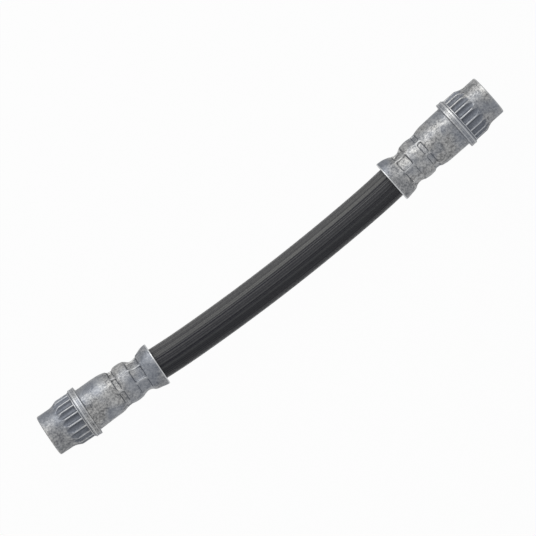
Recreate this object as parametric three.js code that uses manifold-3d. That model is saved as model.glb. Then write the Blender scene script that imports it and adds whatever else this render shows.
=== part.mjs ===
// Hydraulic brake hose: one rubber hose with a crimped steel end fitting at each end.
// Millimetres, +Z up. The hose lies as it comes to rest on a flat surface, on the
// collar and the bell lip of each fitting, and bows a little towards -Y.

import * as THREE from 'three';
import { mergeVertices } from 'three/addons/utils/BufferGeometryUtils.js';
import Module from 'manifold-3d';

// Gap between pieces that touch on the real hose.
const clearance = 0.3;

// Hose.
const hoseRadius = 5.25;
const hoseBoreRadius = 1.6;
const hoseSides = 12;
const hoseSteps = 64;

// Insert tube that the hose is crimped onto.
const insertStretch = 0.15;
const insertWall = 0.65;
const insertSetback = 2.2;
const insertChamfer = 0.3;
const insertSides = 20;

// Port for the brake pipe's M10 x 1 nut, at its crest diameter, with a cone at its foot.
const portRadius = 4.45;
const portDepth = 13;
const portChamfer = 0.9;
const portConeHalfAngle = THREE.MathUtils.degToRad(59);
const webLength = 1;
const insertGrip = 3;

// Outside of the fitting, from the port face towards the hose.
const portWall = 2.45;
const noseEdge = 0.3;
const noseLength = 5.4;
const coneLength = 2.5;
const splineLength = 4.05;
const splineRise = 1.05;
const ringLength = 0.35;
const ringRise = 0.13;
const collarLength = 2.3;
const collarRise = 0.55;
const collarEdge = 0.25;
const barrelLength = 7;
const barrelTaper = 0.15;
const shoulderLength = 4;
const shoulderDrop = 0.85;
const crimpOneLength = 1.8;
const crimpOneDepth = 1.25;
const bulgeLength = 4.5;
const bulgeDrop = 0.62;
const bulgeFall = 0.25;
const crimpTwoLength = 3.8;
const crimpTwoDepth = 1.85;
const crimpWallRun = 0.1;
const bellLength = 5;
const bellDrop = 1.15;
const lipEdge = 0.2;

// Shell of the socket, and the hose's room in it.
const shellWall = 1.7;

// Flutes cut into the spline.
const fluteCount = 19;
const fluteDepth = 0.87;
const fluteRadius = 1.1;
const fluteSides = 12;

// Eight jaws press each crimp, and leave nearly flat pads with a blunt corner between them.
const jawCount = 8;
const padOneFlatness = 0.55;
const padTwoFlatness = 0.95;
const facetsPerJaw = 5;

// How far each fitting is turned on its own axis, from its top.
const leftFluteTurn = THREE.MathUtils.degToRad(8.5);
const leftJawTurn = THREE.MathUtils.degToRad(17);
const rightFluteTurn = THREE.MathUtils.degToRad(2.2);
const rightJawTurn = THREE.MathUtils.degToRad(-5);

// Centreline of the hose from the foot of one socket to the foot of the other.
const hoseRoute = [
  [-67.45, -0.11, 8.26],
  [-60.79, -0.59, 7.94],
  [-53.82, -1.09, 7.6],
  [-46.14, -1.78, 7.24],
  [-38.87, -2.4, 6.92],
  [-29.89, -2.9, 6.6],
  [-19.9, -3.28, 6.35],
  [-9.9, -3.51, 6.2],
  [0, -3.59, 6.15],
  [9.9, -3.51, 6.2],
  [19.9, -3.28, 6.35],
  [29.89, -2.9, 6.6],
  [38.87, -2.4, 6.92],
  [46.14, -1.78, 7.24],
  [53.82, -1.09, 7.6],
  [60.79, -0.59, 7.94],
  [67.45, -0.11, 8.26],
];

// Radii of the fitting.
const noseRadius = portRadius + portWall;
const splineRadius = noseRadius + splineRise;
const ringRadius = splineRadius + ringRise;
const barrelRadius = hoseRadius + clearance + shellWall;
const collarRadius = Math.max(splineRadius, barrelRadius) + collarRise;
const barrelEndRadius = barrelRadius - barrelTaper;
const crimpOneRadius = barrelRadius - crimpOneDepth;
const crimpTwoRadius = barrelRadius - crimpTwoDepth;
const bulgeRadius = barrelRadius - bulgeDrop;
const bulgeEndRadius = bulgeRadius - bulgeFall;
const bellStartRadius = barrelRadius - bellDrop;

// Stations along the fitting, measured from the port face towards the hose.
const noseEnd = noseLength;
const coneEnd = noseEnd + coneLength;
const splineEnd = coneEnd + splineLength;
const ringEnd = splineEnd + ringLength;
const collarEnd = ringEnd + collarLength;
const barrelEnd = collarEnd + barrelLength;
const crimpOneStart = barrelEnd + shoulderLength;
const crimpOneEnd = crimpOneStart + crimpOneLength;
const crimpTwoStart = crimpOneEnd + bulgeLength;
const crimpTwoEnd = crimpTwoStart + crimpTwoLength;
const lipEnd = crimpTwoEnd + bellLength;

// Stations inside the fitting.
const insertRadius = hoseBoreRadius + insertStretch;
const insertBoreRadius = insertRadius - insertWall;
const pocketRadius = insertRadius + clearance;
const portConeEnd = portDepth + (portRadius - insertBoreRadius) / Math.tan(portConeHalfAngle);
const pocketStart = portConeEnd + webLength;
const socketFloor = pocketStart + insertGrip;
const hoseStart = socketFloor + clearance;
const insertStart = pocketStart + clearance;
const insertEnd = lipEnd - insertSetback;

const wasm = await Module();
wasm.setup();

const steel = new THREE.MeshStandardMaterial({ color: 0x8f9296, roughness: 0.45, metalness: 0.9 });
const insertSteel = new THREE.MeshStandardMaterial({ color: 0xa9abad, roughness: 0.35, metalness: 0.9 });
const rubber = new THREE.MeshStandardMaterial({ color: 0x232426, roughness: 0.75, metalness: 0 });

// Turns a closed geometry into a solid that can be cut.
function toSolid(geometry) {
  const bare = geometry.clone();
  bare.deleteAttribute('normal');
  bare.deleteAttribute('uv');
  const merged = mergeVertices(bare);
  return new wasm.Manifold(new wasm.Mesh({
    numProp: 3,
    vertProperties: new Float32Array(merged.attributes.position.array),
    triVerts: new Uint32Array(merged.index.array),
  }));
}

// Turns a solid back into a geometry.
function toGeometry(solid) {
  const mesh = solid.getMesh();
  const geometry = new THREE.BufferGeometry();
  geometry.setAttribute('position', new THREE.BufferAttribute(mesh.vertProperties, 3));
  geometry.setIndex(new THREE.BufferAttribute(mesh.triVerts, 1));
  geometry.computeVertexNormals();
  return geometry;
}

// A point of the shell's outline. Pads are pressed where flat is above zero.
function shellPoint(station, radius, flat = 0) {
  return { station, radius, flat };
}

// Outline of the crimped shell, from the collar to the bell lip.
function shellOutline() {
  const outline = [shellPoint(collarEnd, barrelRadius)];
  const shoulderPieces = 4;
  for (let i = 0; i <= shoulderPieces; i += 1) {
    const along = i / shoulderPieces;
    const fall = shoulderDrop * along * along;
    outline.push(shellPoint(barrelEnd + shoulderLength * along, barrelEndRadius - fall));
  }
  outline.push(shellPoint(crimpOneStart + crimpWallRun, crimpOneRadius, padOneFlatness));
  outline.push(shellPoint(crimpOneEnd - crimpWallRun, crimpOneRadius, padOneFlatness));
  const bulgePieces = 4;
  for (let i = 0; i <= bulgePieces; i += 1) {
    const along = i / bulgePieces;
    const swell = Math.sin(Math.PI * along);
    const station = crimpOneEnd + bulgeLength * along;
    outline.push(shellPoint(station, bulgeEndRadius + bulgeFall * swell));
  }
  outline.push(shellPoint(crimpTwoStart + crimpWallRun, crimpTwoRadius, padTwoFlatness));
  outline.push(shellPoint(crimpTwoEnd - crimpWallRun, crimpTwoRadius, padTwoFlatness));
  const bellPieces = 4;
  for (let i = 0; i <= bellPieces; i += 1) {
    const along = i / bellPieces;
    const flare = Math.sin(along * Math.PI / 2);
    const station = crimpTwoEnd + (bellLength - lipEdge) * along;
    outline.push(shellPoint(station, bellStartRadius + bellDrop * flare));
  }
  return outline;
}

// Radius of the socket inside the shell at a station.
function socketRadiusAt(outline, station) {
  const next = outline.findIndex((point) => point.station >= station);
  if (next < 0) return outline[outline.length - 1].radius - shellWall;
  if (next === 0) return outline[0].radius - shellWall;
  const before = outline[next - 1];
  const after = outline[next];
  const share = (station - before.station) / (after.station - before.station);
  return before.radius + (after.radius - before.radius) * share - shellWall;
}

// Narrowest radius of the socket between two stations.
function narrowestSocket(outline, from, to) {
  const within = outline.filter((point) => point.station > from && point.station < to);
  const radii = within.map((point) => point.radius - shellWall);
  return Math.min(socketRadiusAt(outline, from), socketRadiusAt(outline, to), ...radii);
}

// Closed section of the fitting: the outside from port to lip, then the inside back to the port.
function fittingSection(outline) {
  const section = [
    shellPoint(0, portRadius + portChamfer),
    shellPoint(0, noseRadius - noseEdge),
    shellPoint(noseEdge, noseRadius),
    shellPoint(noseEnd, noseRadius),
    shellPoint(coneEnd, splineRadius),
    shellPoint(splineEnd, splineRadius),
    shellPoint(splineEnd, ringRadius),
    shellPoint(ringEnd, ringRadius),
    shellPoint(ringEnd, collarRadius - collarEdge),
    shellPoint(ringEnd + collarEdge, collarRadius),
    shellPoint(collarEnd - collarEdge, collarRadius),
    shellPoint(collarEnd, collarRadius - collarEdge),
    ...outline,
    shellPoint(lipEnd, barrelRadius - lipEdge),
    shellPoint(lipEnd, barrelRadius - shellWall),
  ];
  const inside = outline.filter((point) => point.station > socketFloor && point.station < lipEnd);
  inside.reverse();
  for (const point of inside) {
    section.push(shellPoint(point.station, point.radius - shellWall));
  }
  section.push(
    shellPoint(socketFloor, socketRadiusAt(outline, socketFloor)),
    shellPoint(socketFloor, pocketRadius),
    shellPoint(pocketStart, pocketRadius),
    shellPoint(pocketStart, insertBoreRadius),
    shellPoint(portConeEnd, insertBoreRadius),
    shellPoint(portDepth, portRadius),
    shellPoint(portChamfer, portRadius),
    shellPoint(0, portRadius + portChamfer),
  );
  return section;
}

// Turned body of the fitting along +Y, with the jaws' pads pressed into its crimps.
function turnedBody(outline, jawTurn) {
  const section = fittingSection(outline);
  const facets = jawCount * facetsPerJaw;
  const points = section.map((point) => new THREE.Vector2(point.radius, point.station));
  const body = new THREE.LatheGeometry(points, facets, jawTurn);
  const position = body.attributes.position;
  for (let i = 0; i < position.count; i += 1) {
    const facet = Math.floor(i / section.length) % facetsPerJaw;
    const fromPad = (facet / facetsPerJaw - 0.5) * 2 * Math.PI / jawCount;
    const flat = section[i % section.length].flat;
    const stretch = 1 + flat * (1 / Math.cos(fromPad) - 1);
    position.setX(i, position.getX(i) * stretch);
    position.setZ(i, position.getZ(i) * stretch);
  }
  return body;
}

// Flutes run out on the cone and stop square at the ring.
function cutFlutes(body, fluteTurn) {
  const start = noseEnd - clearance;
  const length = splineEnd - start;
  const cutter = new THREE.CylinderGeometry(fluteRadius, fluteRadius, length, fluteSides);
  cutter.translate(0, start + length / 2, splineRadius - fluteDepth + fluteRadius);
  const pitch = 2 * Math.PI / fluteCount;
  cutter.rotateY(fluteTurn + pitch / 2);
  let solid = body;
  for (let i = 0; i < fluteCount; i += 1) {
    solid = solid.subtract(toSolid(cutter));
    cutter.rotateY(pitch);
  }
  return solid;
}

// One end fitting along +Y, its port face at the origin.
function endFitting(name, fluteTurn, jawTurn) {
  const body = turnedBody(shellOutline(), jawTurn);
  const fitting = new THREE.Mesh(toGeometry(cutFlutes(toSolid(body), fluteTurn)), steel);
  fitting.name = name;
  return fitting;
}

// Thin tube seated in the fitting, which holds the hose's bore open under the crimps.
function insertTube(name) {
  const points = [
    new THREE.Vector2(insertBoreRadius, insertStart),
    new THREE.Vector2(insertRadius, insertStart),
    new THREE.Vector2(insertRadius, insertEnd - insertChamfer),
    new THREE.Vector2(insertRadius - insertChamfer, insertEnd),
    new THREE.Vector2(insertBoreRadius, insertEnd),
    new THREE.Vector2(insertBoreRadius, insertStart),
  ];
  const tube = new THREE.Mesh(new THREE.LatheGeometry(points, insertSides), insertSteel);
  tube.name = name;
  return tube;
}

// Places a fitting and its insert on one end of the hose. Their +Y runs along the hose's end.
function placedEnd(end, inward, pieces) {
  const along = new THREE.Vector3().subVectors(inward, end).normalize();
  const side = new THREE.Vector3().crossVectors(along, new THREE.Vector3(0, 0, 1)).normalize();
  const top = new THREE.Vector3().crossVectors(side, along);
  const group = new THREE.Group();
  group.quaternion.setFromRotationMatrix(new THREE.Matrix4().makeBasis(side, along, top));
  group.position.copy(end).addScaledVector(along, -hoseStart);
  group.add(...pieces);
  return group;
}

// Rubber hose with its bore, squeezed by the crimps and stretched over the inserts.
function hoseMesh(route) {
  const section = new THREE.Shape();
  section.absarc(0, 0, hoseRadius, 0, 2 * Math.PI, false);
  const bore = new THREE.Path();
  bore.absarc(0, 0, hoseBoreRadius, 0, 2 * Math.PI, true);
  section.holes.push(bore);
  const hose = new THREE.ExtrudeGeometry(section, {
    extrudePath: route,
    steps: hoseSteps,
    curveSegments: hoseSides / 2,
  });
  const outline = shellOutline();
  const centres = route.getSpacedPoints(hoseSteps);
  const stepLength = route.getLength() / hoseSteps;
  const middle = (hoseRadius + hoseBoreRadius) / 2;
  const position = hose.attributes.position;
  const point = new THREE.Vector3();
  for (let i = 0; i < position.count; i += 1) {
    point.fromBufferAttribute(position, i);
    let nearest = 0;
    for (let step = 1; step <= hoseSteps; step += 1) {
      if (point.distanceTo(centres[step]) < point.distanceTo(centres[nearest])) nearest = step;
    }
    const station = hoseStart + Math.min(nearest, hoseSteps - nearest) * stepLength;
    const room = narrowestSocket(outline, station - stepLength, station + stepLength) - clearance;
    const outer = Math.min(hoseRadius, station < lipEnd + stepLength ? room : hoseRadius);
    const inner = station < insertEnd + stepLength + clearance ? pocketRadius : hoseBoreRadius;
    const arm = point.clone().sub(centres[nearest]);
    arm.setLength(arm.length() > middle ? outer : inner);
    point.copy(centres[nearest]).add(arm);
    position.setXYZ(i, point.x, point.y, point.z);
  }
  const mesh = new THREE.Mesh(hose, rubber);
  mesh.name = 'hose';
  return mesh;
}

const routePoints = hoseRoute.map((point) => new THREE.Vector3(...point));
const route = new THREE.CatmullRomCurve3(routePoints);
const lastPoint = routePoints.length - 1;

const brakeHose = new THREE.Group();
brakeHose.add(
  hoseMesh(route),
  placedEnd(routePoints[0], routePoints[2], [
    endFitting('left_end_fitting', leftFluteTurn, leftJawTurn),
    insertTube('left_insert_tube'),
  ]),
  placedEnd(routePoints[lastPoint], routePoints[lastPoint - 2], [
    endFitting('right_end_fitting', rightFluteTurn, rightJawTurn),
    insertTube('right_insert_tube'),
  ]),
);

// The origin is under the middle of the hose, on the surface that it lies on.
const extent = new THREE.Box3().setFromObject(brakeHose, true);
const middle = extent.getCenter(new THREE.Vector3());
brakeHose.position.set(-middle.x, -middle.y, -extent.min.z);

export default brakeHose;
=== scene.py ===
"""Dresses a car brake hose: ribbed black rubber between two crimped, zinc-plated end fittings.

The classes hold their sizes in millimetres. A mesh is turned about its own +Z first, with +X as
its top, and is then placed in the row's frame in metres. Stations run along that +Z.
"""

from __future__ import annotations

import logging
import math
from bisect import bisect_right
from dataclasses import dataclass, field, replace
from enum import Enum

import bmesh
import bpy
from mathutils import Matrix, Vector, geometry, noise


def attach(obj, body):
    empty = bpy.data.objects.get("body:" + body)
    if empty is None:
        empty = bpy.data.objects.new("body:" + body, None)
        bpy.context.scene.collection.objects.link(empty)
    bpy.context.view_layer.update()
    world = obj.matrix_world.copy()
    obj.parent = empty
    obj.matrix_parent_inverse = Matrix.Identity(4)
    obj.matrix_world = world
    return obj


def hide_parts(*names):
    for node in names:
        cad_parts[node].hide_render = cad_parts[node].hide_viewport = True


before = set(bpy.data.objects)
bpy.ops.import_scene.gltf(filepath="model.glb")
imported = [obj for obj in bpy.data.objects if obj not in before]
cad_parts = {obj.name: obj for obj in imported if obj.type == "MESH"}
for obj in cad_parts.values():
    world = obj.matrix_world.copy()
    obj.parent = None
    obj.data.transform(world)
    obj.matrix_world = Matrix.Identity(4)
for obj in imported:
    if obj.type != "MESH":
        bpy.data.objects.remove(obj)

LOG = logging.getLogger("brake_hose")
MM = 0.001
BODY = "root"

Span = tuple[float, float]
Point = tuple[float, float, float]
Colour = tuple[float, float, float]
Mesh = bmesh.types.BMesh
Material = bpy.types.Material
Piece = bpy.types.Object
Socket = bpy.types.NodeSocket

CLEARANCE = 0.3
HOSE_RADIUS = 5.25

# Centreline of the hose in metres, from the foot of the left socket to the middle, and mirrored on.
HALF_ROUTE = [
    (-0.06745, -0.00011, 0.00826),
    (-0.06079, -0.00059, 0.00794),
    (-0.05382, -0.00109, 0.0076),
    (-0.04614, -0.00178, 0.00724),
    (-0.03887, -0.0024, 0.00692),
    (-0.02989, -0.0029, 0.0066),
    (-0.0199, -0.00328, 0.00635),
    (-0.0099, -0.00351, 0.0062),
]
HOSE_ROUTE = [*HALF_ROUTE, (0.0, -0.00359, 0.00615), *((-x, y, z) for x, y, z in reversed(HALF_ROUTE))]


class End(Enum):
    """The two ends of the hose."""

    LEFT = "left"
    RIGHT = "right"


def share_between(low: float, high: float, value: float) -> float:
    """Share of the way from low to high."""
    return (value - low) / (high - low)


def smooth_step(low: float, high: float, value: float) -> float:
    """Rises smoothly from 0 at low to 1 at high.

    Args:
        low: Where the rise starts.
        high: Where the rise ends.
        value: The place to read.

    Returns:
        A number from 0 to 1.
    """
    share = min(1.0, max(0.0, share_between(low, high, value)))
    return share * share * (3.0 - 2.0 * share)


def band(value: float, start: float, rise: Span, end: float, fall: Span) -> float:
    """Rises from 0 to 1 over one stretch and falls back to 0 over another.

    Args:
        value: The place to read.
        start: The place that the rise is measured from.
        rise: Where the rise starts and ends.
        end: The place that the fall is measured from.
        fall: Where the fall starts and ends.

    Returns:
        A number from 0 to 1.
    """
    risen = smooth_step(start + rise[0], start + rise[1], value)
    return risen * (1.0 - smooth_step(end + fall[0], end + fall[1], value))


def soft_min(first: float, second: float, rounding: float) -> float:
    """The smaller of two lengths, with a rounded change from one to the other.

    Args:
        first: One length.
        second: The other length.
        rounding: How far apart the two may be and still blend.

    Returns:
        The blended smaller length.
    """
    share = max(rounding - abs(first - second), 0.0) / rounding
    return min(first, second) - share * share * rounding / 4.0


def wrap_angle(angle: float, pitch: float) -> float:
    """Brings an angle within half a pitch of zero.

    Args:
        angle: Any angle.
        pitch: The repeat of the pattern.

    Returns:
        The angle from the nearest multiple of the pitch.
    """
    return (angle + pitch / 2.0) % pitch - pitch / 2.0


class HoseLine:
    """The smooth line through the route's points, read by its length."""

    STEPS_PER_SPAN = 24

    def __init__(self, route: list[Point]) -> None:
        """Samples the line.

        Args:
            route: The chosen points, in metres.
        """
        points = [Vector(point) for point in route]
        ends = [points[0] * 2 - points[1], *points, points[-1] * 2 - points[-2]]
        self.samples: list[Vector] = [points[0]]
        for before, start, finish, after in zip(ends, ends[1:], ends[2:], ends[3:]):
            handle_out = start + (finish - before) / 6.0
            handle_in = finish - (after - start) / 6.0
            span = geometry.interpolate_bezier(
                start, handle_out, handle_in, finish, self.STEPS_PER_SPAN + 1
            )
            self.samples.extend(span[1:])
        self.lengths = [0.0]
        for start, finish in zip(self.samples, self.samples[1:]):
            self.lengths.append(self.lengths[-1] + (finish - start).length)

    @property
    def length(self) -> float:
        """Length of the whole line, in metres."""
        return self.lengths[-1]

    def at(self, distance: float) -> Matrix:
        """The place on the line at a distance, with +Z along it and +X towards its top.

        Args:
            distance: Metres from the line's start.

        Returns:
            A matrix from the straight hose's frame to the row's frame.
        """
        low = min(bisect_right(self.lengths, distance) - 1, len(self.lengths) - 2)
        start, finish = self.samples[low], self.samples[low + 1]
        share = (distance - self.lengths[low]) / (self.lengths[low + 1] - self.lengths[low])
        place = start.lerp(finish, share)
        before = self.samples[max(0, low - 1)]
        after = self.samples[min(len(self.samples) - 1, low + 2)]
        return place_along(place, (after - before).normalized())


def place_along(place: Vector, along: Vector) -> Matrix:
    """A frame at a point, with +Z along a direction and +X as near upright as that allows.

    Args:
        place: The frame's origin.
        along: Its +Z.

    Returns:
        The frame as a matrix.
    """
    side = along.cross(Vector((0.0, 0.0, 1.0))).normalized()
    top = side.cross(along)
    turned = Matrix((top, side, along)).transposed().to_4x4()
    return Matrix.Translation(place) @ turned


def add_object(name: str, data: bpy.types.ID) -> Piece:
    """Adds an object to the scene.

    Args:
        name: Its name.
        data: Its mesh, lamp or camera.

    Returns:
        The object.
    """
    thing = bpy.data.objects.new(name, data)
    bpy.context.scene.collection.objects.link(thing)
    return thing


def finish_piece(name: str, mesh: Mesh, material: Material) -> Piece:
    """Makes a piece of a finished mesh and ties it to the frame.

    Args:
        name: The piece's name.
        mesh: Its mesh, already in its place.
        material: Its finish.

    Returns:
        The new object.
    """
    data = bpy.data.meshes.new(name)
    mesh.to_mesh(data)
    mesh.free()
    data.shade_smooth()
    data.materials.append(material)
    piece = add_object(name, data)
    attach(piece, BODY)
    LOG.info("%s: %d faces", name, len(data.polygons))
    return piece


@dataclass(frozen=True)
class Corner:
    """A corner of a turned outline, with the rounding that it gets."""

    station: float
    radius: float
    rounding: float = 0.0


class TurnedForm:
    """A closed outline that is rounded, refined and turned about +Z."""

    ROUNDING_PIECES = 5
    MERGE = 0.0005

    def __init__(self, corners: list[Corner]) -> None:
        """Draws the outline.

        Args:
            corners: The corners in order. The last joins the first.
        """
        self.mesh = bmesh.new()
        points = [self.mesh.verts.new((c.radius, 0.0, c.station)) for c in corners]
        for start, finish in zip(points, points[1:] + points[:1]):
            self.mesh.edges.new((start, finish))
        groups: dict[float, list[bmesh.types.BMVert]] = {}
        for corner, point in zip(corners, points):
            if corner.rounding > 0.0:
                groups.setdefault(corner.rounding, []).append(point)
        for rounding, group in groups.items():
            bmesh.ops.bevel(
                self.mesh,
                geom=group,
                offset=rounding,
                offset_type="OFFSET",
                affect="VERTICES",
                segments=self.ROUNDING_PIECES,
                profile=0.5,
                material=-1,
            )

    def refine(self, low: float, high: float, step: float, least_radius: float = 0.0) -> None:
        """Cuts the outline's edges between two stations into shorter ones.

        Args:
            low: The first station.
            high: The last station.
            step: The longest edge that may stay.
            least_radius: Edges nearer the axis than this are left.
        """
        groups: dict[int, list[bmesh.types.BMEdge]] = {}
        for edge in self.mesh.edges:
            middle = (edge.verts[0].co + edge.verts[1].co) / 2.0
            cuts = math.ceil(edge.calc_length() / step) - 1
            if low <= middle.z <= high and middle.x > least_radius and cuts > 0:
                groups.setdefault(cuts, []).append(edge)
        for cuts, edges in groups.items():
            bmesh.ops.subdivide_edges(self.mesh, edges=edges, cuts=cuts)

    def turn(self, sectors: int, steps: int, start_angle: float = 0.0) -> Mesh:
        """Turns the outline into a closed solid, one sector at a time.

        Args:
            sectors: Equal sectors round the full turn.
            steps: Faces round one sector.
            start_angle: The angle of the first one from the top.

        Returns:
            The solid's mesh.
        """
        pitch = 2.0 * math.pi / sectors
        centre = (0.0, 0.0, 0.0)
        bmesh.ops.rotate(
            self.mesh,
            verts=self.mesh.verts,
            cent=centre,
            matrix=Matrix.Rotation(start_angle, 3, "Z"),
        )
        bmesh.ops.spin(
            self.mesh,
            geom=[*self.mesh.verts, *self.mesh.edges],
            cent=centre,
            axis=(0.0, 0.0, 1.0),
            angle=pitch,
            steps=steps,
            use_merge=False,
            use_duplicate=False,
        )
        sector = [*self.mesh.verts, *self.mesh.edges, *self.mesh.faces]
        for i in range(1, sectors):
            copied = bmesh.ops.duplicate(self.mesh, geom=sector)["geom"]
            bmesh.ops.rotate(
                self.mesh,
                verts=[item for item in copied if isinstance(item, bmesh.types.BMVert)],
                cent=centre,
                matrix=Matrix.Rotation(pitch * i, 3, "Z"),
            )
        bmesh.ops.remove_doubles(self.mesh, verts=self.mesh.verts, dist=self.MERGE)
        bmesh.ops.recalc_face_normals(self.mesh, faces=self.mesh.faces)
        return self.mesh


@dataclass(frozen=True)
class Crimp:
    """One band round the shell that the jaws press, and how they press it.

    The jaws on the pressed side go deeper by the shift, and the shell sinks there by the notch.
    """

    start: float
    end: float
    depth: float
    socket_depth: float
    notch_rise: Span
    notch_fall: Span
    inset: float = 0.0
    slope: float = 0.0
    shift: float = 0.0
    turn: float = 0.0
    notch: float = 0.0


CRIMP_ONE = Crimp(25.6, 27.4, 1.5, 1.35, notch_rise=(-0.3, 0.5), notch_fall=(-0.3, 0.8), inset=0.12)
CRIMP_TWO = Crimp(31.9, 35.7, 1.95, 1.95, notch_rise=(0.1, 1.8), notch_fall=(-0.2, 0.6), slope=0.5)


@dataclass(frozen=True)
class ShellForm:
    """Outside of a fitting between its collar and its bell lip, as the jaws leave it.

    The fields whose names end in rise or fall give the stretches over which a form
    grows from one station and fades out about another.
    """

    barrel_radius: float = 7.25
    barrel_taper: float = 0.15
    barrel_start: float = 14.6
    barrel_end: float = 21.6
    shoulder_drop: float = 0.58
    shoulder_curve: float = 2.4
    crimp_one: Crimp = CRIMP_ONE
    bulge_drop: float = 0.62
    bulge_fall: float = 0.28
    crimp_two: Crimp = CRIMP_TWO
    crimp_two_dip: float = 0.5
    lip_end: float = 40.7
    bell_drop: float = 1.15
    wall: float = 1.7
    socket_margin: float = 0.5

    jaws: int = 8
    pad_flatness: float = 0.92
    pad_wall: float = 0.2
    pad_reach: float = math.radians(18.9)
    pad_corner: float = 0.5
    pad_rounding: float = 0.05
    blunt_share: float = 0.16
    mean_rise: float = 0.024
    facet_strength: float = 0.3
    facet_rise: Span = (-1.4, 0.0)
    facet_fall: Span = (1.0, 4.0)
    bell_facets: float = 0.7
    bell_facet_rise: Span = (0.0, 3.8)
    bell_facet_fall: Span = (0.0, 3.5)
    unevenness: float = 0.07
    seed: float = 0.0

    press_side: float = 0.0
    lean: float = 0.0
    lean_rise: Span = (-0.4, 0.3)
    lean_fall: Span = (0.5, 3.0)

    # Painted highlight on the shoulder and on the bulge between the crimps; a weight below zero paints
    # shade on the shoulder instead.
    painted_shoulder_light: float = 1.0
    painted_shoulder_light_place: float = 0.6
    painted_shoulder_light_reach: float = 2.6
    # The ridges between the pads get a painted highlight, and the pads' ends, more faintly their sides,
    # a thin painted shade; the pads themselves show a little real rubbing.
    pad_ridge_highlight: float = 0.4
    pad_wear: float = 0.08
    side_crease_shade: float = 0.25
    crease_shade_fade: float = 0.6

    def round_radius(self, station: float) -> float:
        """Radius of the round shell, before the pads are pressed.

        Args:
            station: Distance from the port face.

        Returns:
            The radius there.
        """
        barrel_end_radius = self.barrel_radius - self.barrel_taper
        shoulder_radius = barrel_end_radius - self.shoulder_drop
        bulge_radius = self.barrel_radius - self.bulge_drop - self.bulge_fall
        bell_radius = self.barrel_radius - self.bell_drop
        one, two = self.crimp_one, self.crimp_two
        if station <= self.barrel_end:
            share = share_between(self.barrel_start, self.barrel_end, station)
            return self.barrel_radius - self.barrel_taper * max(0.0, share)
        if station <= one.start:
            share = share_between(self.barrel_end, one.start, station)
            return barrel_end_radius - self.shoulder_drop * share**self.shoulder_curve
        if station <= one.end:
            share = share_between(one.start, one.end, station)
            return shoulder_radius + (bulge_radius - shoulder_radius) * share
        if station <= two.start:
            share = share_between(one.end, two.start, station)
            return bulge_radius + self.bulge_fall * math.sin(math.pi * share)
        if station <= two.end:
            share = share_between(two.start, two.end, station)
            dip = self.crimp_two_dip * math.sin(math.pi * share)
            return bulge_radius + (bell_radius - bulge_radius) * share - dip
        share = min(1.0, share_between(two.end, self.lip_end, station))
        return bell_radius + self.bell_drop * math.sin(share * math.pi / 2.0)

    def shoulder_and_bulge_light(self, station: float) -> float:
        """How much painted highlight the shoulder and the bulge between the crimps get at a station.

        Args:
            station: Distance from the port face.

        Returns:
            One where the painted highlight is fullest, zero where there is none, and below zero where
            the shoulder gets painted shade instead.
        """
        low, high = self.crimp_one.end, self.crimp_two.start
        from_shoulder = abs(station - self.barrel_end - self.painted_shoulder_light_place)
        from_bulge = abs(station - (low + high) / 2.0)
        shoulder = 1.0 - smooth_step(0.0, self.painted_shoulder_light_reach, from_shoulder)
        bulge = 1.0 - smooth_step(0.0, (high - low) / 2.0, from_bulge)
        return self.painted_shoulder_light * shoulder + bulge

    def corner_rise(self, from_pad: float) -> float:
        """How far the eight-sided form of the jaws stands over its flats, as a share.

        Args:
            from_pad: Angle from the middle of the nearest pad, without its sign.

        Returns:
            Zero in the middle of a pad, and the most at a corner.
        """
        half = math.pi / self.jaws
        reach = half - math.hypot(half - from_pad, half * self.blunt_share)
        return 1.0 / math.cos(max(0.0, reach)) - 1.0

    def facets(self, station: float) -> float:
        """How much of the jaws' eight-sided form the shell has outside the pads.

        Args:
            station: Distance from the port face.

        Returns:
            Zero where the shell is round, and one where it is fully eight-sided.
        """
        one, two = self.crimp_one, self.crimp_two
        whole = band(station, one.start, self.facet_rise, two.end, self.facet_fall)
        bell = band(station, two.start, self.bell_facet_rise, two.end, self.bell_facet_fall)
        return self.facet_strength * whole + self.bell_facets * bell

    def sunk_side(self, station: float, angle: float) -> float:
        """How much deeper the shell lies on the side that the jaws pressed more.

        Args:
            station: Distance from the port face.
            angle: Angle from a corner between two jaws.

        Returns:
            The depth there, and less than zero where the shell stands proud instead.
        """
        side = math.cos(angle - self.press_side)
        bell_start = self.crimp_two.end
        depth = self.lean * side * band(station, bell_start, self.lean_rise, bell_start, self.lean_fall)
        for crimp in (self.crimp_one, self.crimp_two):
            share = band(station, crimp.start, crimp.notch_rise, crimp.end, crimp.notch_fall)
            depth += share * max(0.0, crimp.notch * side)
        return depth

    def pressed(self, station: float, angle: float) -> tuple[float, float]:
        """The shell after the jaws have pressed it.

        Args:
            station: Distance from the port face.
            angle: Angle from a corner between two jaws.

        Returns:
            The radius there, and its painted light from -1, painted shade along a pad's ends, to 1, a
            painted highlight on a ridge between pads; the pads also show a little real rubbing.
        """
        pitch = 2.0 * math.pi / self.jaws
        rise = self.corner_rise(abs(wrap_angle(angle - pitch / 2.0, pitch)))
        radius = self.round_radius(station) * (1.0 + self.facets(station) * (rise - self.mean_rise))
        radius -= self.sunk_side(station, angle)
        painted_light_and_wear = 0.0
        for i, crimp in enumerate((self.crimp_one, self.crimp_two)):
            jaw = math.floor((angle - crimp.turn) / pitch) % self.jaws
            from_pad = abs(wrap_angle(angle - crimp.turn - pitch / 2.0, pitch))
            jaw_side = math.cos(pitch * (jaw + 0.5) + crimp.turn - self.press_side)
            own = self.seed + 1.7 * i + 2.3 * jaw
            start = crimp.start + crimp.inset + self.unevenness * math.sin(3.1 * own)
            end = crimp.end - crimp.inset + self.unevenness * math.sin(5.3 * own + 1.0)
            depth = crimp.depth + self.unevenness * math.sin(7.7 * own + 2.0) + crimp.shift * jaw_side
            depth += crimp.slope * ((station - start) / (end - start) - 0.5)
            pad = (self.barrel_radius - depth) * (1.0 + self.pad_flatness * self.corner_rise(from_pad))

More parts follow.
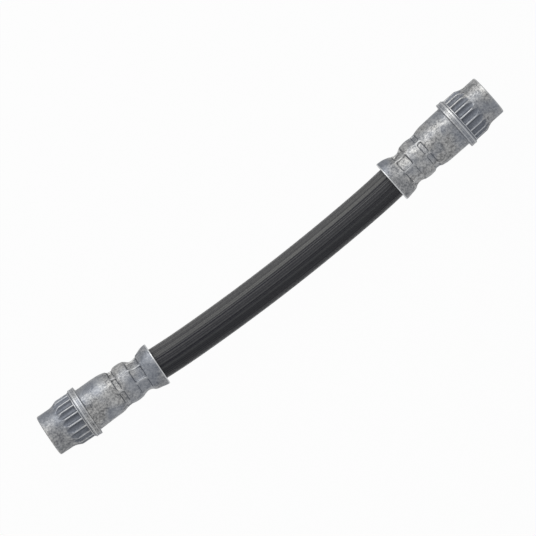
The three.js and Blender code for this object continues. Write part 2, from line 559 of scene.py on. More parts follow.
            from_end = min(station - start, end - station)
            from_side = (self.pad_reach - from_pad) * radius
            corner_end = self.pad_corner - from_end
            corner_side = self.pad_corner - from_side
            inward = min(from_end, from_side)
            if corner_end > 0.0 and corner_side > 0.0:
                inward = self.pad_corner - math.hypot(corner_end, corner_side)

            press = smooth_step(-self.pad_wall / 2.0, self.pad_wall / 2.0, inward)
            # A thin painted shade along the pads' ends, fainter along their sides, and a painted
            # highlight on the ridges between the pads.
            sunk = smooth_step(0.02, 0.2, radius - pad)
            sunk *= 1.0 - self.crease_shade_fade * smooth_step(0.4, 1.0, from_pad / self.pad_reach)
            crease_shade = sunk * (1.0 - smooth_step(0.06, 0.2, abs(inward)))
            crease_shade *= 1.0 if from_end < from_side else self.side_crease_shade
            ridge = smooth_step(-0.2, 0.1, from_end) * (1.0 - smooth_step(-0.1, 0.05, inward))
            ridge *= smooth_step(0.1, -0.15, from_side)
            painted_light_and_wear += self.pad_ridge_highlight * ridge + self.pad_wear * press - crease_shade
            radius += press * (soft_min(radius, pad, self.pad_rounding) - radius)
        return radius, max(-1.0, min(1.0, painted_light_and_wear))

    def socket_radius(self, station: float) -> float:
        """Radius of the socket inside the shell.

        Args:
            station: Distance from the port face.

        Returns:
            The radius there.
        """
        radius = self.round_radius(station)
        for crimp in (self.crimp_one, self.crimp_two):
            if crimp.start - self.socket_margin < station < crimp.end + self.socket_margin:
                radius = min(radius, self.barrel_radius - crimp.socket_depth)
        return radius - self.wall


@dataclass(frozen=True)
class PortForm:
    """The threaded port and what lies behind it."""

    crest_radius: float = 4.45
    root_radius: float = 5.03
    mouth_radius: float = 5.35
    depth: float = 13.0
    cone_half_angle: float = math.radians(59.0)
    thread_pitch: float = 1.0
    thread_start: float = 0.55
    thread_turns: int = 11
    thread_crest: float = 0.25
    thread_base: float = 0.87
    thread_overlap: float = 0.04
    thread_steps: int = 48
    passage_radius: float = 1.1
    pocket_radius: float = 2.05
    web: float = 1.0
    insert_grip: float = 3.0

    @property
    def cone_start(self) -> float:
        """Station where the bore at its root radius meets the cone."""
        return self.depth - (self.root_radius - self.crest_radius) / math.tan(self.cone_half_angle)

    @property
    def cone_end(self) -> float:
        """Station of the cone's small end."""
        reach = self.crest_radius - self.passage_radius
        return self.depth + reach / math.tan(self.cone_half_angle)

    @property
    def pocket_start(self) -> float:
        """Station where the insert tube's pocket starts."""
        return self.cone_end + self.web

    @property
    def socket_floor(self) -> float:
        """Station of the socket's floor."""
        return self.pocket_start + self.insert_grip


@dataclass
class EndFitting:
    """One crimped end fitting: a fluted, pressed steel body with a threaded port."""

    end: End
    flute_turn: float
    jaw_turn: float
    seed: float
    shell: ShellForm = field(default_factory=ShellForm)
    port: PortForm = field(default_factory=PortForm)

    nose_radius: float = 6.95
    nose_edge: float = 0.45
    nose_length: float = 5.4
    nose_rounding: float = 1.0
    cone_length: float = 2.2
    cone_rounding: float = 0.35
    spline_radius: float = 7.95
    spline_length: float = 4.35
    ring_radius: float = 8.08
    ring_length: float = 0.5
    collar_radius: float = 8.5
    collar_length: float = 2.15
    collar_edge: float = 0.2
    collar_fillet: float = 0.3
    groove_depth: float = 0.08
    groove_width: float = 1.1
    groove_rounding: float = 0.08
    lip_edge: float = 0.25
    lip_inner_edge: float = 0.15
    passage_edge: float = 0.15
    flutes: int = 19
    flute_depth: float = 0.87
    flute_cutter: float = 1.1
    flute_rounding: float = 0.1
    steps_per_flute: int = 16
    shell_steps: int = 26
    socket_steps: int = 14

    dent: float = 0.035
    dents_per_mm: float = 0.32
    sway: float = 0.0
    sway_rise: Span = (14.6, 21.0)
    sway_fall: Span = (32.5, 37.5)

    # Painted highlights on the flutes' ridges and the port face's edge, and painted shade at the
    # collar's edges and deep in the flutes.
    edge_light_and_shade: float = 0.6
    face_edge_highlight_rise: Span = (0.25, 0.6)
    flute_ridge_highlight_rise: Span = (1.1, 2.3)
    ridge_depth: float = 0.06
    hollow_shade_rise: Span = (0.03, 0.2)
    # Share of the painted highlight on the shoulder and the bulge.
    shoulder_and_bulge_light_share: float = 0.12
    dullness: float = 0.1
    bell_dullness: float = 0.35
    bell_dull_rise: Span = (0.2, 1.4)
    # A painted highlight along the lip, and a band of painted shade just inside it.
    lip_highlight_width: float = 0.42
    lip_shade: float = 0.5
    lip_shade_width: float = 0.9
    lip_shade_end: float = 0.55
    # Painted highlight on the ring, painted shade in the corner before the collar, and on the collar
    # bands of painted highlight, fine painted light and dark lines, and painted shade at its edges.
    ring_highlight: float = 0.5
    corner_shade_width: float = 0.22
    line_pitch: float = 0.55
    line_light_and_shade: float = 0.25
    collar_highlight: float = 0.55
    collar_highlight_bands: tuple[float, float] = (0.22, 0.08)
    collar_highlight_fade: float = 0.12

    @property
    def hose_start(self) -> float:
        """Station of the hose's end in the socket."""
        return self.port.socket_floor + CLEARANCE

    @property
    def spline_end(self) -> float:
        """Station where the flutes stop."""
        return self.nose_length + self.cone_length + self.spline_length

    def outline(self) -> list[Corner]:
        """Corners of the turned section: the outside from port to lip, then the inside back.

        Returns:
            The corners in order.
        """
        shell, port = self.shell, self.port
        cone_end = self.nose_length + self.cone_length
        ring_end = self.spline_end + self.ring_length
        collar_end = ring_end + self.collar_length
        groove = ring_end + self.collar_length / 2.0
        corners = [
            Corner(0.0, port.mouth_radius),
            Corner(0.0, self.nose_radius, self.nose_edge),
            Corner(self.nose_length, self.nose_radius, self.nose_rounding),
            Corner(cone_end, self.spline_radius, self.cone_rounding),
            Corner(self.spline_end, self.spline_radius),
            Corner(self.spline_end, self.ring_radius, self.groove_rounding),
            Corner(ring_end, self.ring_radius),
            Corner(ring_end, self.collar_radius, self.collar_edge),
            Corner(groove - self.groove_width / 2.0, self.collar_radius, self.groove_rounding),
            Corner(groove, self.collar_radius - self.groove_depth, self.groove_rounding),
            Corner(groove + self.groove_width / 2.0, self.collar_radius, self.groove_rounding),
            Corner(collar_end, self.collar_radius, self.collar_edge),
            Corner(collar_end, shell.barrel_radius, self.collar_fillet),
        ]
        for i in range(1, self.shell_steps):
            station = shell.barrel_end + (shell.lip_end - shell.barrel_end) * i / self.shell_steps
            corners.append(Corner(station, shell.round_radius(station)))
        corners += [
            Corner(shell.lip_end, shell.barrel_radius, self.lip_edge),
            Corner(shell.lip_end, shell.barrel_radius - shell.wall, self.lip_inner_edge),
        ]
        for i in range(1, self.socket_steps):
            station = shell.lip_end + (port.socket_floor - shell.lip_end) * i / self.socket_steps
            corners.append(Corner(station, shell.socket_radius(station)))
        corners += [
            Corner(port.socket_floor, shell.socket_radius(port.socket_floor)),
            Corner(port.socket_floor, port.pocket_radius),
            Corner(port.pocket_start, port.pocket_radius),
            Corner(port.pocket_start, port.passage_radius),
            Corner(port.cone_end, port.passage_radius, self.passage_edge),
            Corner(port.cone_start, port.root_radius),
            Corner(port.mouth_radius - port.root_radius, port.root_radius),
        ]
        return corners

    def flute_radius(self, angle: float) -> float:
        """Radius of the flute's cut at an angle from its middle.

        Args:
            angle: Angle from the middle of the nearest flute.

        Returns:
            The radius there, or a very large one outside the flute.
        """
        middle = self.spline_radius - self.flute_depth + self.flute_cutter
        off = middle * math.sin(angle)
        if abs(off) >= self.flute_cutter:
            return 2.0 * self.spline_radius
        return middle * math.cos(angle) - math.sqrt(self.flute_cutter**2 - off * off)

    def collar_light_and_shade(self, station: float, radius: float) -> float:
        """Painted light and shade on the collar and on the ring before it.

        Args:
            station: Distance from the port face.
            radius: The radius there.

        Returns:
            The mark, from -1, painted shade in the corner before the collar, to 1, a painted highlight.
        """
        start = self.spline_end + self.ring_length
        end = start + self.collar_length
        on_ring = self.ring_radius + 0.05
        # The ring gets a painted highlight, and the corner before the collar painted shade.
        if radius < on_ring:
            return self.ring_highlight if station < start - self.corner_shade_width else -1.0
        # Bands of painted highlight near the collar's edges, fine painted light and dark lines across
        # it, and painted shade right at its edges.
        from_edge = min(station - start, end - station)
        width = self.collar_highlight_bands[0 if station - start < end - station else 1]
        from_band = abs(from_edge - width - self.collar_edge)
        bright = 1.0 - smooth_step(width, width + self.collar_highlight_fade, from_band)
        lines = math.cos(math.tau * (station - start) / self.line_pitch)
        dark = 1.0 - smooth_step(0.05, self.collar_edge, from_edge)
        return self.collar_highlight * bright + self.line_light_and_shade * lines - self.edge_light_and_shade * dark

    def fluted(self, station: float, angle: float, radius: float) -> tuple[float, float]:
        """The nose and the spline after the flutes are cut.

        Args:
            station: Distance from the port face.
            angle: Angle from the top.
            radius: The turned body's radius there.

        Returns:
            The radius there, and its painted light from -1, painted shade deep in a flute, to 1, a
            painted highlight on a ridge or the face's edge.
        """
        pitch = 2.0 * math.pi / self.flutes
        from_flute = wrap_angle(angle - self.flute_turn - pitch / 2.0, pitch)
        cut = soft_min(radius, self.flute_radius(from_flute), self.flute_rounding)
        nose, sunk = self.nose_length, radius - cut
        # A painted highlight on the ridges and on the face's edge, and painted shade deep in the flutes;
        # the nose is made duller.
        ridge = smooth_step(*self.flute_ridge_highlight_rise, station - nose)
        ridge *= 1.0 - smooth_step(0.0, self.ridge_depth, sunk)
        face_edge = 1.0 - smooth_step(*self.face_edge_highlight_rise, station)
        mark = self.edge_light_and_shade * (ridge + face_edge) - smooth_step(*self.hollow_shade_rise, sunk)
        return cut, mark - self.dullness * (1.0 - smooth_step(nose - 1.0, nose + 1.0, station))

    def add_shell_light_and_wear(self, station: float, mark: float) -> float:
        """Adds the whole shell's painted light and its duller bell to a place's own mark.

        Args:
            station: Distance from the port face.
            mark: The place's own painted light and rubbing.

        Returns:
            The mark there.
        """
        on_bell = station - self.shell.crimp_two.end
        # Painted highlight on the shoulder and the bulge.
        mark += self.shoulder_and_bulge_light_share * self.shell.shoulder_and_bulge_light(station)
        mark -= self.bell_dullness * smooth_step(*self.bell_dull_rise, on_bell)
        from_lip = self.shell.lip_end - station
        # A painted highlight along the lip, and a band of painted shade just inside it.
        if from_lip < self.lip_highlight_width:
            return 1.0
        if from_lip < self.lip_shade_width:
            return -self.lip_shade * smooth_step(self.lip_shade_width, self.lip_shade_end, from_lip)
        return mark

    def shape(self, mesh: Mesh) -> None:
        """Moves the turned body's outside to its flutes, its pressed pads and its small dents.

        Args:
            mesh: The turned body, about +Z.
        """
        shell = self.shell
        inside_limit = shell.barrel_radius - shell.wall + 0.15
        face_limit = self.nose_radius - self.nose_edge
        # The attribute holds painted highlights above zero and painted shade below zero, with some real
        # rubbing and dulling.
        painted_light_and_wear = mesh.verts.layers.float.new("painted_light_and_wear")
        for vert in mesh.verts:
            radius = math.hypot(vert.co.x, vert.co.y)
            station = vert.co.z
            if radius < inside_limit or (station < 0.01 and radius < face_limit):
                continue
            angle = math.atan2(vert.co.y, vert.co.x)
            new, mark = radius, 0.0
            if station < self.spline_end - 0.005:
                new, mark = self.fluted(station, angle, radius)
            elif station < shell.barrel_start:
                mark = self.collar_light_and_shade(station, radius)
            elif shell.barrel_end < station < shell.lip_end - 0.3:
                new, mark = shell.pressed(station, angle - self.jaw_turn)
            vert[painted_light_and_wear] = self.add_shell_light_and_wear(station, mark)
            lump = Vector((vert.co.x, vert.co.y, station + self.seed)) * self.dents_per_mm
            new += self.dent * noise.noise(lump)
            vert.co.x *= new / radius
            vert.co.y *= new / radius
            vert.co.y += self.sway * band(station, 0.0, self.sway_rise, 0.0, self.sway_fall)

    def build(self, place: Matrix, material: Material) -> Piece:
        """Builds the steel body.

        Args:
            place: From the fitting's frame to the row's frame.
            material: Its finish.

        Returns:
            The piece.
        """
        shell = self.shell
        outside = shell.barrel_radius - shell.wall
        one, two = shell.crimp_one, shell.crimp_two
        # Each stretch's first and last station, and the longest edge that may stay in it.
        stretches = [
            (0.0, self.nose_length - 0.4, 0.8),
            (self.nose_length - 0.4, self.spline_end, 0.13),
            (self.spline_end + 0.02, shell.barrel_start - 0.02, 0.09),
            (shell.barrel_start, shell.barrel_end, 0.7),
            *((end - 0.3, end + 0.3, 0.06) for end in (one.start, one.end, two.start, two.end)),
            (shell.barrel_end, shell.lip_end - 1.0, 0.2),
            (shell.lip_end - 1.0, shell.lip_end - 0.3, 0.1),
        ]
        form = TurnedForm(self.outline())
        for low, high, step in stretches:
            form.refine(low, high, step, outside)
        mesh = form.turn(self.flutes, self.steps_per_flute, self.flute_turn)
        self.shape(mesh)
        bmesh.ops.transform(mesh, matrix=place @ Matrix.Scale(MM, 4), verts=mesh.verts)
        node = f"{self.end.value}_end_fitting"
        piece = finish_piece(f"{self.end.value}_fitting_body", mesh, material)
        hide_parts(node)
        return piece

    def build_thread(self, place: Matrix, material: Material) -> Piece:
        """Builds the thread's ridge in the port.

        Args:
            place: From the fitting's frame to the row's frame.
            material: Its finish.

        Returns:
            The piece.
        """
        port = self.port
        mesh = bmesh.new()
        foot_radius = port.root_radius + port.thread_overlap
        section = [
            (foot_radius, -port.thread_base / 2.0),
            (port.crest_radius, -port.thread_crest / 2.0),
            (port.crest_radius, port.thread_crest / 2.0),
            (foot_radius, port.thread_base / 2.0),
        ]
        corners = [mesh.verts.new((radius, 0.0, port.thread_start + along)) for radius, along in section]
        edges = [mesh.edges.new(pair) for pair in zip(corners, corners[1:] + corners[:1])]
        steps = port.thread_steps
        spun = bmesh.ops.spin(
            mesh,
            geom=[*corners, *edges],
            cent=(0.0, 0.0, 0.0),
            axis=(0.0, 0.0, 1.0),
            dvec=(0.0, 0.0, port.thread_pitch / steps),
            angle=2.0 * math.pi * port.thread_turns,
            steps=steps * port.thread_turns,
            use_merge=False,
            use_duplicate=False,
        )
        last = [item for item in spun["geom_last"] if isinstance(item, bmesh.types.BMEdge)]
        bmesh.ops.contextual_create(mesh, geom=edges)
        bmesh.ops.contextual_create(mesh, geom=last)
        bmesh.ops.recalc_face_normals(mesh, faces=mesh.faces)
        bmesh.ops.transform(mesh, matrix=place @ Matrix.Scale(MM, 4), verts=mesh.verts)
        return finish_piece(f"{self.end.value}_port_thread", mesh, material)


@dataclass
class RubberHose:
    """The ribbed rubber hose, squeezed by the crimps at both ends."""

    line: HoseLine
    fitting: EndFitting
    radius: float = HOSE_RADIUS
    bore_radius: float = 1.6
    stretched_bore: float = 2.05
    bore_step: float = 2.0
    lip_margin: float = 1.5
    ribs: int = 42
    rib_height: float = 0.07
    rib_mean: float = 0.55
    rib_unevenness: float = 0.9
    waviness: float = 0.6
    steps_per_rib: int = 6
    ring_step: float = 1.6
    bore_ring_step: float = 3.0

    @property
    def length(self) -> float:
        """Length of the hose in millimetres."""
        return self.line.length / MM

    def outer_radius(self, along: float) -> float:
        """Radius of the hose's outside.

        Args:
            along: Distance from the hose's nearer end.

        Returns:
            The radius there.
        """
        station = self.fitting.hose_start + along
        if station > self.fitting.shell.lip_end - self.lip_margin:
            return self.radius
        return min(self.radius, self.fitting.shell.socket_radius(station) - CLEARANCE)

    def outline(self) -> list[Corner]:
        """Corners of the straight hose's section.

        Returns:
            The corners in order.
        """
        count = round(self.length / self.ring_step)
        outside = []
        for i in range(count + 1):
            along = self.length * i / count
            outside.append(Corner(along, self.outer_radius(min(along, self.length - along))))
        stretch_end = self.fitting.shell.lip_end - self.fitting.hose_start
        inside = [
            Corner(self.length, self.stretched_bore),
            Corner(self.length - stretch_end, self.stretched_bore),
            Corner(self.length - stretch_end - self.bore_step, self.bore_radius),
            Corner(stretch_end + self.bore_step, self.bore_radius),
            Corner(stretch_end, self.stretched_bore),
            Corner(0.0, self.stretched_bore),
        ]
        return outside + inside

    def rib(self, angle: float) -> float:
        """Height of the ribs at an angle, as the worn die leaves them.

        Args:
            angle: Angle round the hose.

        Returns:
            The height over the hose's own radius.
        """
        wave = math.cos(angle * self.ribs)
        place = Vector((math.cos(angle) * 3.1, math.sin(angle) * 3.1, 0.7))
        uneven = self.rib_mean + self.rib_unevenness * noise.noise(place * 2.3)
        return self.rib_height * (uneven * wave + self.waviness * noise.noise(place * 5.0))

    def build(self, material: Material) -> Piece:
        """Args:
            material: Its finish.

        Returns:
            The piece.
        """
        form = TurnedForm(self.outline())
        form.refine(0.0, self.length, self.bore_ring_step)
        mesh = form.turn(self.ribs, self.steps_per_rib)
        straight = mesh.verts.layers.float_vector.new("straight")
        outside_limit = 2.8
        for vert in mesh.verts:
            radius = math.hypot(vert.co.x, vert.co.y)
            angle = math.atan2(vert.co.y, vert.co.x)
            vert[straight] = vert.co * MM
            if radius > outside_limit:
                grown = (radius + self.rib(angle)) / radius
                vert.co.x *= grown
                vert.co.y *= grown
            place = self.line.at(min(max(vert.co.z * MM, 0.0), self.line.length))
            vert.co = place @ Vector((vert.co.x * MM, vert.co.y * MM, 0.0))
        piece = finish_piece("rubber_hose", mesh, material)
        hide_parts("hose")
        self.line.length
        return piece


@dataclass(frozen=True)
class Grain:
    """A noise of a finish: its scale per metre, and how the values of its source are spread."""

    scale: float
    octaves: float
    roughness: float = 0.5
    source: Span = (0.3, 0.7)
    share: float = 1.0


class NodeKit:
    """Adds and joins the nodes of one material."""

    BUMP_STRENGTH = 0.6

    def __init__(self, name: str) -> None:
        """Starts an empty material.

        Args:
            name: The material's name.
        """
        self.material = bpy.data.materials.new(name)
        self.material.use_nodes = True
        self.tree = self.material.node_tree
        self.tree.nodes.clear()
        self.output = self.tree.nodes.new("ShaderNodeOutputMaterial")

    def add(self, kind: str, **values: object) -> bpy.types.Node:
        """Adds a node and sets its own properties.

        Args:
            kind: The node's type.
            values: Its properties by name.

        Returns:
            The node.
        """
        node = self.tree.nodes.new(kind)
        for name, value in values.items():
            setattr(node, name, value)
        return node

    def feed(self, socket: Socket, value: object) -> None:
        """Gives a node's input what it reads.

        Args:
            socket: The input.
            value: A number, a vector, a colour or the socket that gives one.
        """
        if isinstance(value, Socket):
            self.tree.links.new(value, socket)
        elif socket.type == "RGBA":
            socket.default_value = (*value, 1.0)
        else:
            socket.default_value = value

    def noise(self, place: Socket, grain: Grain) -> Socket:
        """A noise pattern.

        Args:
            place: Where the pattern is read.
            grain: Its scale, octaves and roughness.

        Returns:
            The socket that gives it, from 0 to 1.
        """
        node = self.add("ShaderNodeTexNoise")
        self.feed(node.inputs["Vector"], place)
        self.feed(node.inputs["Scale"], grain.scale)
        self.feed(node.inputs["Detail"], grain.octaves)
        self.feed(node.inputs["Roughness"], grain.roughness)
        return node.outputs["Fac"]

    def remap(self, value: Socket, source: Span, target: Span) -> Socket:
        """Maps a range of values onto another.

        Args:
            value: The socket to read.
            source: The two values that are mapped.
            target: What they become.

        Returns:
            The mapped socket.
        """
        node = self.add("ShaderNodeMapRange", clamp=True)
        self.feed(node.inputs["Value"], value)
        for name, number in zip(("From Min", "From Max", "To Min", "To Max"), (*source, *target)):
            self.feed(node.inputs[name], number)
        return node.outputs["Result"]

    def spread(self, value: Socket, grain: Grain) -> Socket:
        """Spreads a noise from nothing to its share."""
        return self.remap(value, grain.source, (0.0, grain.share))

    def blend(self, share: Socket, first: object, second: object) -> Socket:
        """Mixes two colours.

        Args:
            share: How much of the second colour shows.
            first: A colour, or the socket that gives it.
            second: A colour, or the socket that gives it.

        Returns:
            The mixed colour's socket.
        """
        node = self.add("ShaderNodeMix", data_type="RGBA")
        for i, value in ((0, share), (6, first), (7, second)):
            self.feed(node.inputs[i], value)
        return node.outputs[2]

    def combine(self, operation: str, first: Socket, second: object) -> Socket:
        """Does a sum on two values.

        Args:
            operation: The Math node's operation.
            first: The first value's socket.
            second: A number, or the second value's socket.

        Returns:
            The result's socket.
        """
        node = self.add("ShaderNodeMath", operation=operation)
        self.feed(node.inputs[0], first)
        self.feed(node.inputs[1], second)
        return node.outputs[0]

    def bump(self, height: Socket, depth: float) -> Socket:
        """A fine relief.

        Args:
            height: The relief's height, from 0 to 1.
            depth: How deep it is, in metres.

        Returns:
            The socket that gives its normal.
        """
        node = self.add("ShaderNodeBump")
        self.feed(node.inputs["Strength"], self.BUMP_STRENGTH)
        self.feed(node.inputs["Distance"], depth)
        self.feed(node.inputs["Height"], height)
        return node.outputs["Normal"]

    def surface(self, kind: str, values: dict[str | int, object]) -> Material:
        """Ends the material with its shader.

        Args:
            kind: The shader's type.
            values: What its inputs read.

        Returns:
            The material.
        """
        shader = self.add(kind)
        for name, value in values.items():
            self.feed(shader.inputs[name], value)
        self.feed(self.output.inputs["Surface"], shader.outputs[0])
        return self.material


@dataclass(frozen=True)
class ZincPlate:
    """Frosty, mottled zinc plating, with painted highlights on edges and painted shade, dark and bluish,
    in hollows and creases; the pads show a little rubbing, and the nose and bell are duller.
    """

    name: str = "zinc_plate"
    light: Colour = (0.42, 0.42, 0.415)
    dark: Colour = (0.085, 0.087, 0.093)
    blue: Colour = (0.16, 0.178, 0.215)
    shade_and_dulling: Colour = (0.14, 0.152, 0.178)
    highlight_and_rubbing: Colour = (0.52, 0.53, 0.54)
    smoothest: float = 0.36
    roughest: float = 0.52
    rubbed_roughness: float = 0.28
    dull_roughness: float = 0.2
    relief_depth: float = 0.00016
    clouds: Grain = Grain(480.0, 4.0, 0.65, (0.36, 0.64), 0.42)
    speckle: Grain = Grain(1500.0, 4.0, 0.75, (0.41, 0.59), 0.58)
    speckle_relief: float = 0.6
    tint: Grain = Grain(110.0, 2.0, source=(0.42, 0.62), share=0.6)
    light_and_wear_share: float = 0.8
    gloss_range: Span = (0.3, 0.7)

    def build(self) -> Material:
        """Builds the material.

        Returns:
            The material.
        """
        kit = NodeKit(self.name)
        place = kit.add("ShaderNodeTexCoord").outputs["Object"]
        painted_light_and_wear = kit.add("ShaderNodeAttribute", attribute_name="painted_light_and_wear").outputs["Fac"]
        shaded_and_dulled, lit_and_rubbing = (-1.0, 0.0), (0.0, 1.0)
        clouds = kit.noise(place, self.clouds)
        speckle = kit.noise(place, self.speckle)
        tint = kit.noise(place, self.tint)
        mottle = kit.combine("ADD", kit.spread(clouds, self.clouds), kit.spread(speckle, self.speckle))
        metal = kit.blend(mottle, self.dark, self.light)
        metal = kit.blend(kit.spread(tint, self.tint), metal, self.blue)
        # Below zero the metal turns to the painted shade colour, dark and bluish, which also dulls the
        # nose and bell; above zero to the painted highlight colour, which also shows the pads' rubbing.
        metal = kit.blend(kit.remap(painted_light_and_wear, shaded_and_dulled, (self.light_and_wear_share, 0.0)), metal, self.shade_and_dulling)
        metal = kit.blend(kit.remap(painted_light_and_wear, lit_and_rubbing, (0.0, self.light_and_wear_share)), metal, self.highlight_and_rubbing)
        rough = kit.remap(speckle, self.gloss_range, (self.roughest, self.smoothest))
        less = kit.remap(painted_light_and_wear, lit_and_rubbing, (0.0, self.smoothest - self.rubbed_roughness))
        more = kit.remap(painted_light_and_wear, shaded_and_dulled, (self.dull_roughness, 0.0))
        height = kit.combine("ADD", clouds, kit.combine("MULTIPLY", speckle, self.speckle_relief))
        values = {
            "Metallic": 1.0,
            "Base Color": metal,
            "Roughness": kit.combine("ADD", kit.combine("SUBTRACT", rough, less), more),
            "Normal": kit.bump(height, self.relief_depth),
        }
        return kit.surface("ShaderNodeBsdfPrincipled", values)


@dataclass(frozen=True)
class ExtrudedRubber:
    """Black rubber with fine streaks along the hose, and a painted sheen, a lighter grey, on the side
    that faces the lamp.
    """

    name: str = "extruded_rubber"
    dark: Colour = (0.012, 0.012, 0.02)
    light: Colour = (0.12, 0.12, 0.124)
    # Colour of the painted sheen on the side that faces the lamp.
    painted_sheen: Colour = (0.205, 0.205, 0.2)
    painted_sheen_edge: Span = (-0.002, -0.0027)
    smoothest: float = 0.3
    roughest: float = 0.4
    shine: float = 0.2
    relief_depth: float = 0.0002
    turn: float = math.radians(125.0)
    along: float = 0.003
    streaks: Grain = Grain(1900.0, 2.0, 0.7, (0.36, 0.64), 0.75)
    dust: Grain = Grain(1800.0, 3.0, 0.7, (0.35, 0.75), 0.25)
    dust_relief: float = 0.35
    patches: Grain = Grain(160.0, 2.0)

    def build(self) -> Material:
        """Builds the material.

        Returns:
            The material.
        """
        kit = NodeKit(self.name)
        straight = kit.add("ShaderNodeAttribute", attribute_name="straight").outputs["Vector"]
        stretch = kit.add("ShaderNodeMapping")
        kit.feed(stretch.inputs["Vector"], straight)
        kit.feed(stretch.inputs["Scale"], (1.0, 1.0, self.along))
        kit.feed(stretch.inputs["Rotation"], (0.0, 0.0, self.turn))
        streaks = kit.noise(stretch.outputs["Vector"], self.streaks)
        dust = kit.noise(straight, self.dust)
        patches = kit.noise(straight, self.patches)
        mix = kit.combine("ADD", kit.spread(streaks, self.streaks), kit.spread(dust, self.dust))
        across = kit.add("ShaderNodeSeparateXYZ")
        kit.feed(across.inputs[0], straight)
        # A painted sheen, lighter grey, on the side of the hose that faces the lamp.
        painted_sheen_mask = kit.remap(across.outputs["Y"], self.painted_sheen_edge, (0.0, 1.0))
        height = kit.combine("ADD", streaks, kit.combine("MULTIPLY", dust, self.dust_relief))
        values = {
            "Base Color": kit.blend(mix, self.dark, kit.blend(painted_sheen_mask, self.light, self.painted_sheen)),
            "Specular IOR Level": self.shine,
            "Roughness": kit.remap(patches, self.patches.source, (self.smoothest, self.roughest)),
            "Normal": kit.bump(height, self.relief_depth),
        }
        return kit.surface("ShaderNodeBsdfPrincipled", values)


@dataclass(frozen=True)
class DrawnSteel:
    """Plain drawn steel of the insert tubes."""

    name: str = "drawn_steel"
    light: Colour = (0.55, 0.55, 0.55)
    dark: Colour = (0.4, 0.4, 0.41)
    lines: Grain = Grain(3000.0, 2.0)
    along: float = 0.05
    roughness: Span = (0.25, 0.4)

    def build(self) -> Material:
        """Builds the material.

        Returns:
            The material.
        """
        kit = NodeKit(self.name)
        stretch = kit.add("ShaderNodeMapping")
        kit.feed(stretch.inputs["Vector"], kit.add("ShaderNodeTexCoord").outputs["Object"])
        kit.feed(stretch.inputs["Scale"], (self.along, 1.0, 1.0))
        lines = kit.noise(stretch.outputs["Vector"], self.lines)
        values = {
            "Metallic": 1.0,
            "Base Color": kit.blend(lines, self.dark, self.light),
            "Roughness": kit.remap(lines, self.lines.source, self.roughness),
        }
        return kit.surface("ShaderNodeBsdfPrincipled", values)


@dataclass(frozen=True)
class PaleFloor:
    """White table that keeps a faint shadow."""

    name: str = "pale_floor"
    colour: Colour = (0.4, 0.4, 0.42)
    shadow_share: float = 0.025

    def build(self) -> Material:
        """Builds the material.

        Returns:
            The material.
        """
        kit = NodeKit(self.name)
        path = kit.add("ShaderNodeLightPath")
        seen = kit.combine("MAXIMUM", path.outputs["Is Camera Ray"], path.outputs["Is Glossy Ray"])
        seen = kit.combine("MAXIMUM", seen, path.outputs["Is Transmission Ray"])
        lit = kit.add("ShaderNodeBsdfDiffuse")
        kit.feed(lit.inputs["Color"], self.colour)
        values = {
            0: kit.combine("MULTIPLY", seen, 1.0 - self.shadow_share),
            1: lit.outputs["BSDF"],
            2: kit.add("ShaderNodeEmission").outputs["Emission"],
        }
        return kit.surface("ShaderNodeMixShader", values)


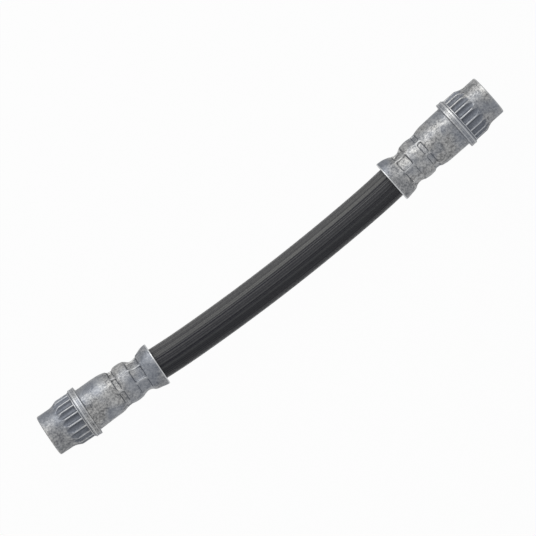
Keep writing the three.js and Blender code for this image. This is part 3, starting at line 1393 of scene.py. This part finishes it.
@dataclass
class Studio:
    """The floor, the lamps, the world and the camera."""

    frame_width: float = 0.167
    camera_distance: float = 0.9
    camera_height: float = 0.008
    sensor: float = 36.0
    turn: float = math.radians(-37.79)
    aim: tuple[float, float] = (-0.00069, 0.00078)
    floor_reach: float = 1.5
    sky: Colour = (0.85, 0.92, 1.0)
    world_strength: float = 0.16
    lamp_place: Point = (0.0, 0.4, 0.3)
    lamp_size: tuple[float, float] = (0.8, 0.34)
    lamp_watts: float = 2.0
    lamp_colour: Colour = (1.0, 0.985, 0.95)

    def build_camera(self) -> None:
        """Adds a camera that looks straight down at the hose, turned as the photograph is."""
        data = bpy.data.cameras.new("camera")
        data.sensor_width = self.sensor
        data.lens = self.sensor * self.camera_distance / self.frame_width
        data.clip_start = 0.01
        data.clip_end = 10.0
        camera = add_object("camera", data)
        camera.location = (*self.aim, self.camera_height + self.camera_distance)
        camera.rotation_euler = (0.0, 0.0, self.turn)
        bpy.context.scene.camera = camera

    def build_floor(self) -> None:
        """Adds the floor under the hose."""
        mesh = bmesh.new()
        bmesh.ops.create_grid(mesh, x_segments=1, y_segments=1, size=self.floor_reach)
        data = bpy.data.meshes.new("floor")
        mesh.to_mesh(data)
        mesh.free()
        data.materials.append(PaleFloor().build())
        floor = add_object("floor", data)

    def build_lamp(self) -> None:
        """Adds the soft lamp that faces the hose."""
        data = bpy.data.lights.new("key_lamp", "AREA")
        data.shape = "RECTANGLE"
        data.size, data.size_y = self.lamp_size
        data.energy = self.lamp_watts
        data.color = self.lamp_colour
        lamp = add_object("key_lamp", data)
        lamp.location = self.lamp_place
        lamp.rotation_euler = Vector(self.lamp_place).to_track_quat("Z", "Y").to_euler()

    def build_world(self) -> None:
        """Sets a world that lights softly and looks white to the camera."""
        world = bpy.data.worlds.new("studio")
        world.use_nodes = True
        bpy.context.scene.world = world
        tree = world.node_tree
        tree.nodes.clear()
        output = tree.nodes.new("ShaderNodeOutputWorld")
        soft = tree.nodes.new("ShaderNodeBackground")
        soft.inputs["Color"].default_value = (*self.sky, 1.0)
        soft.inputs["Strength"].default_value = self.world_strength
        white = tree.nodes.new("ShaderNodeBackground")
        white.inputs["Color"].default_value = (1.0, 1.0, 1.0, 1.0)
        path = tree.nodes.new("ShaderNodeLightPath")
        mix = tree.nodes.new("ShaderNodeMixShader")
        seen = path.outputs["Is Camera Ray"]
        for ray in ("Is Glossy Ray", "Is Transmission Ray"):
            either = tree.nodes.new("ShaderNodeMath")
            either.operation = "MAXIMUM"
            tree.links.new(seen, either.inputs[0])
            tree.links.new(path.outputs[ray], either.inputs[1])
            seen = either.outputs[0]
        tree.links.new(seen, mix.inputs[0])
        tree.links.new(soft.outputs[0], mix.inputs[1])
        tree.links.new(white.outputs[0], mix.inputs[2])
        tree.links.new(mix.outputs[0], output.inputs["Surface"])

    def build(self) -> None:
        """Builds the whole studio."""
        bpy.context.scene.view_settings.view_transform = "Standard"
        self.build_camera()
        self.build_floor()
        self.build_world()
        self.build_lamp()


def fitting_place(fitting: EndFitting) -> Matrix:
    """Where a fitting stands, from the end of the hose's route that it holds.

    Args:
        fitting: The fitting.

    Returns:
        From the fitting's frame to the row's frame.
    """
    first, inward = (0, 2) if fitting.end is End.LEFT else (-1, -3)
    tip = Vector(HOSE_ROUTE[first])
    along = (Vector(HOSE_ROUTE[inward]) - tip).normalized()
    return place_along(tip - along * fitting.hose_start * MM, along)


def left_fitting() -> EndFitting:
    """The left fitting, pressed as its own jaws left it."""
    shell = ShellForm(
        crimp_one=replace(CRIMP_ONE, depth=1.7, shift=0.38, turn=math.radians(-7.7), notch=0.45),
        crimp_two=replace(CRIMP_TWO, shift=0.6, notch=0.6),
        press_side=math.radians(-107.0),
        lean=0.3,
        painted_shoulder_light=1.4,
        seed=0.0,
    )
    return EndFitting(
        End.LEFT,
        flute_turn=math.radians(8.5),
        jaw_turn=math.radians(17.0),
        seed=0.0,
        shell=shell,
        dullness=0.35,
        sway=-0.25,
    )


def right_fitting() -> EndFitting:
    """The right fitting, pressed as its own jaws left it."""
    shell = ShellForm(
        crimp_one=replace(CRIMP_ONE, shift=0.05, turn=math.radians(-3.8), notch=-0.28),
        crimp_two=replace(CRIMP_TWO, shift=0.42, notch=0.3),
        press_side=math.radians(95.0),
        lean=0.2,
        painted_shoulder_light=-0.6,
        seed=4.0,
    )
    return EndFitting(
        End.RIGHT,
        flute_turn=math.radians(2.2),
        jaw_turn=math.radians(-5.0),
        seed=57.0,
        shell=shell,
    )


def main() -> None:
    """Builds the studio and the hose."""
    logging.basicConfig(level=logging.INFO, format="%(name)s: %(message)s")
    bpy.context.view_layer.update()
    Studio().build()

    zinc = ZincPlate().build()
    rubber = ExtrudedRubber().build()
    drawn = DrawnSteel().build()
    left, right = left_fitting(), right_fitting()
    RubberHose(HoseLine(HOSE_ROUTE), left).build(rubber)
    for fitting in (left, right):
        place = fitting_place(fitting)
        fitting.build(place, zinc)
        fitting.build_thread(place, zinc)
        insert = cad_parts[f"{fitting.end.value}_insert_tube"]
        for material_slot in insert.material_slots:
            material_slot.material = drawn


if __name__ == "__main__":
    main()
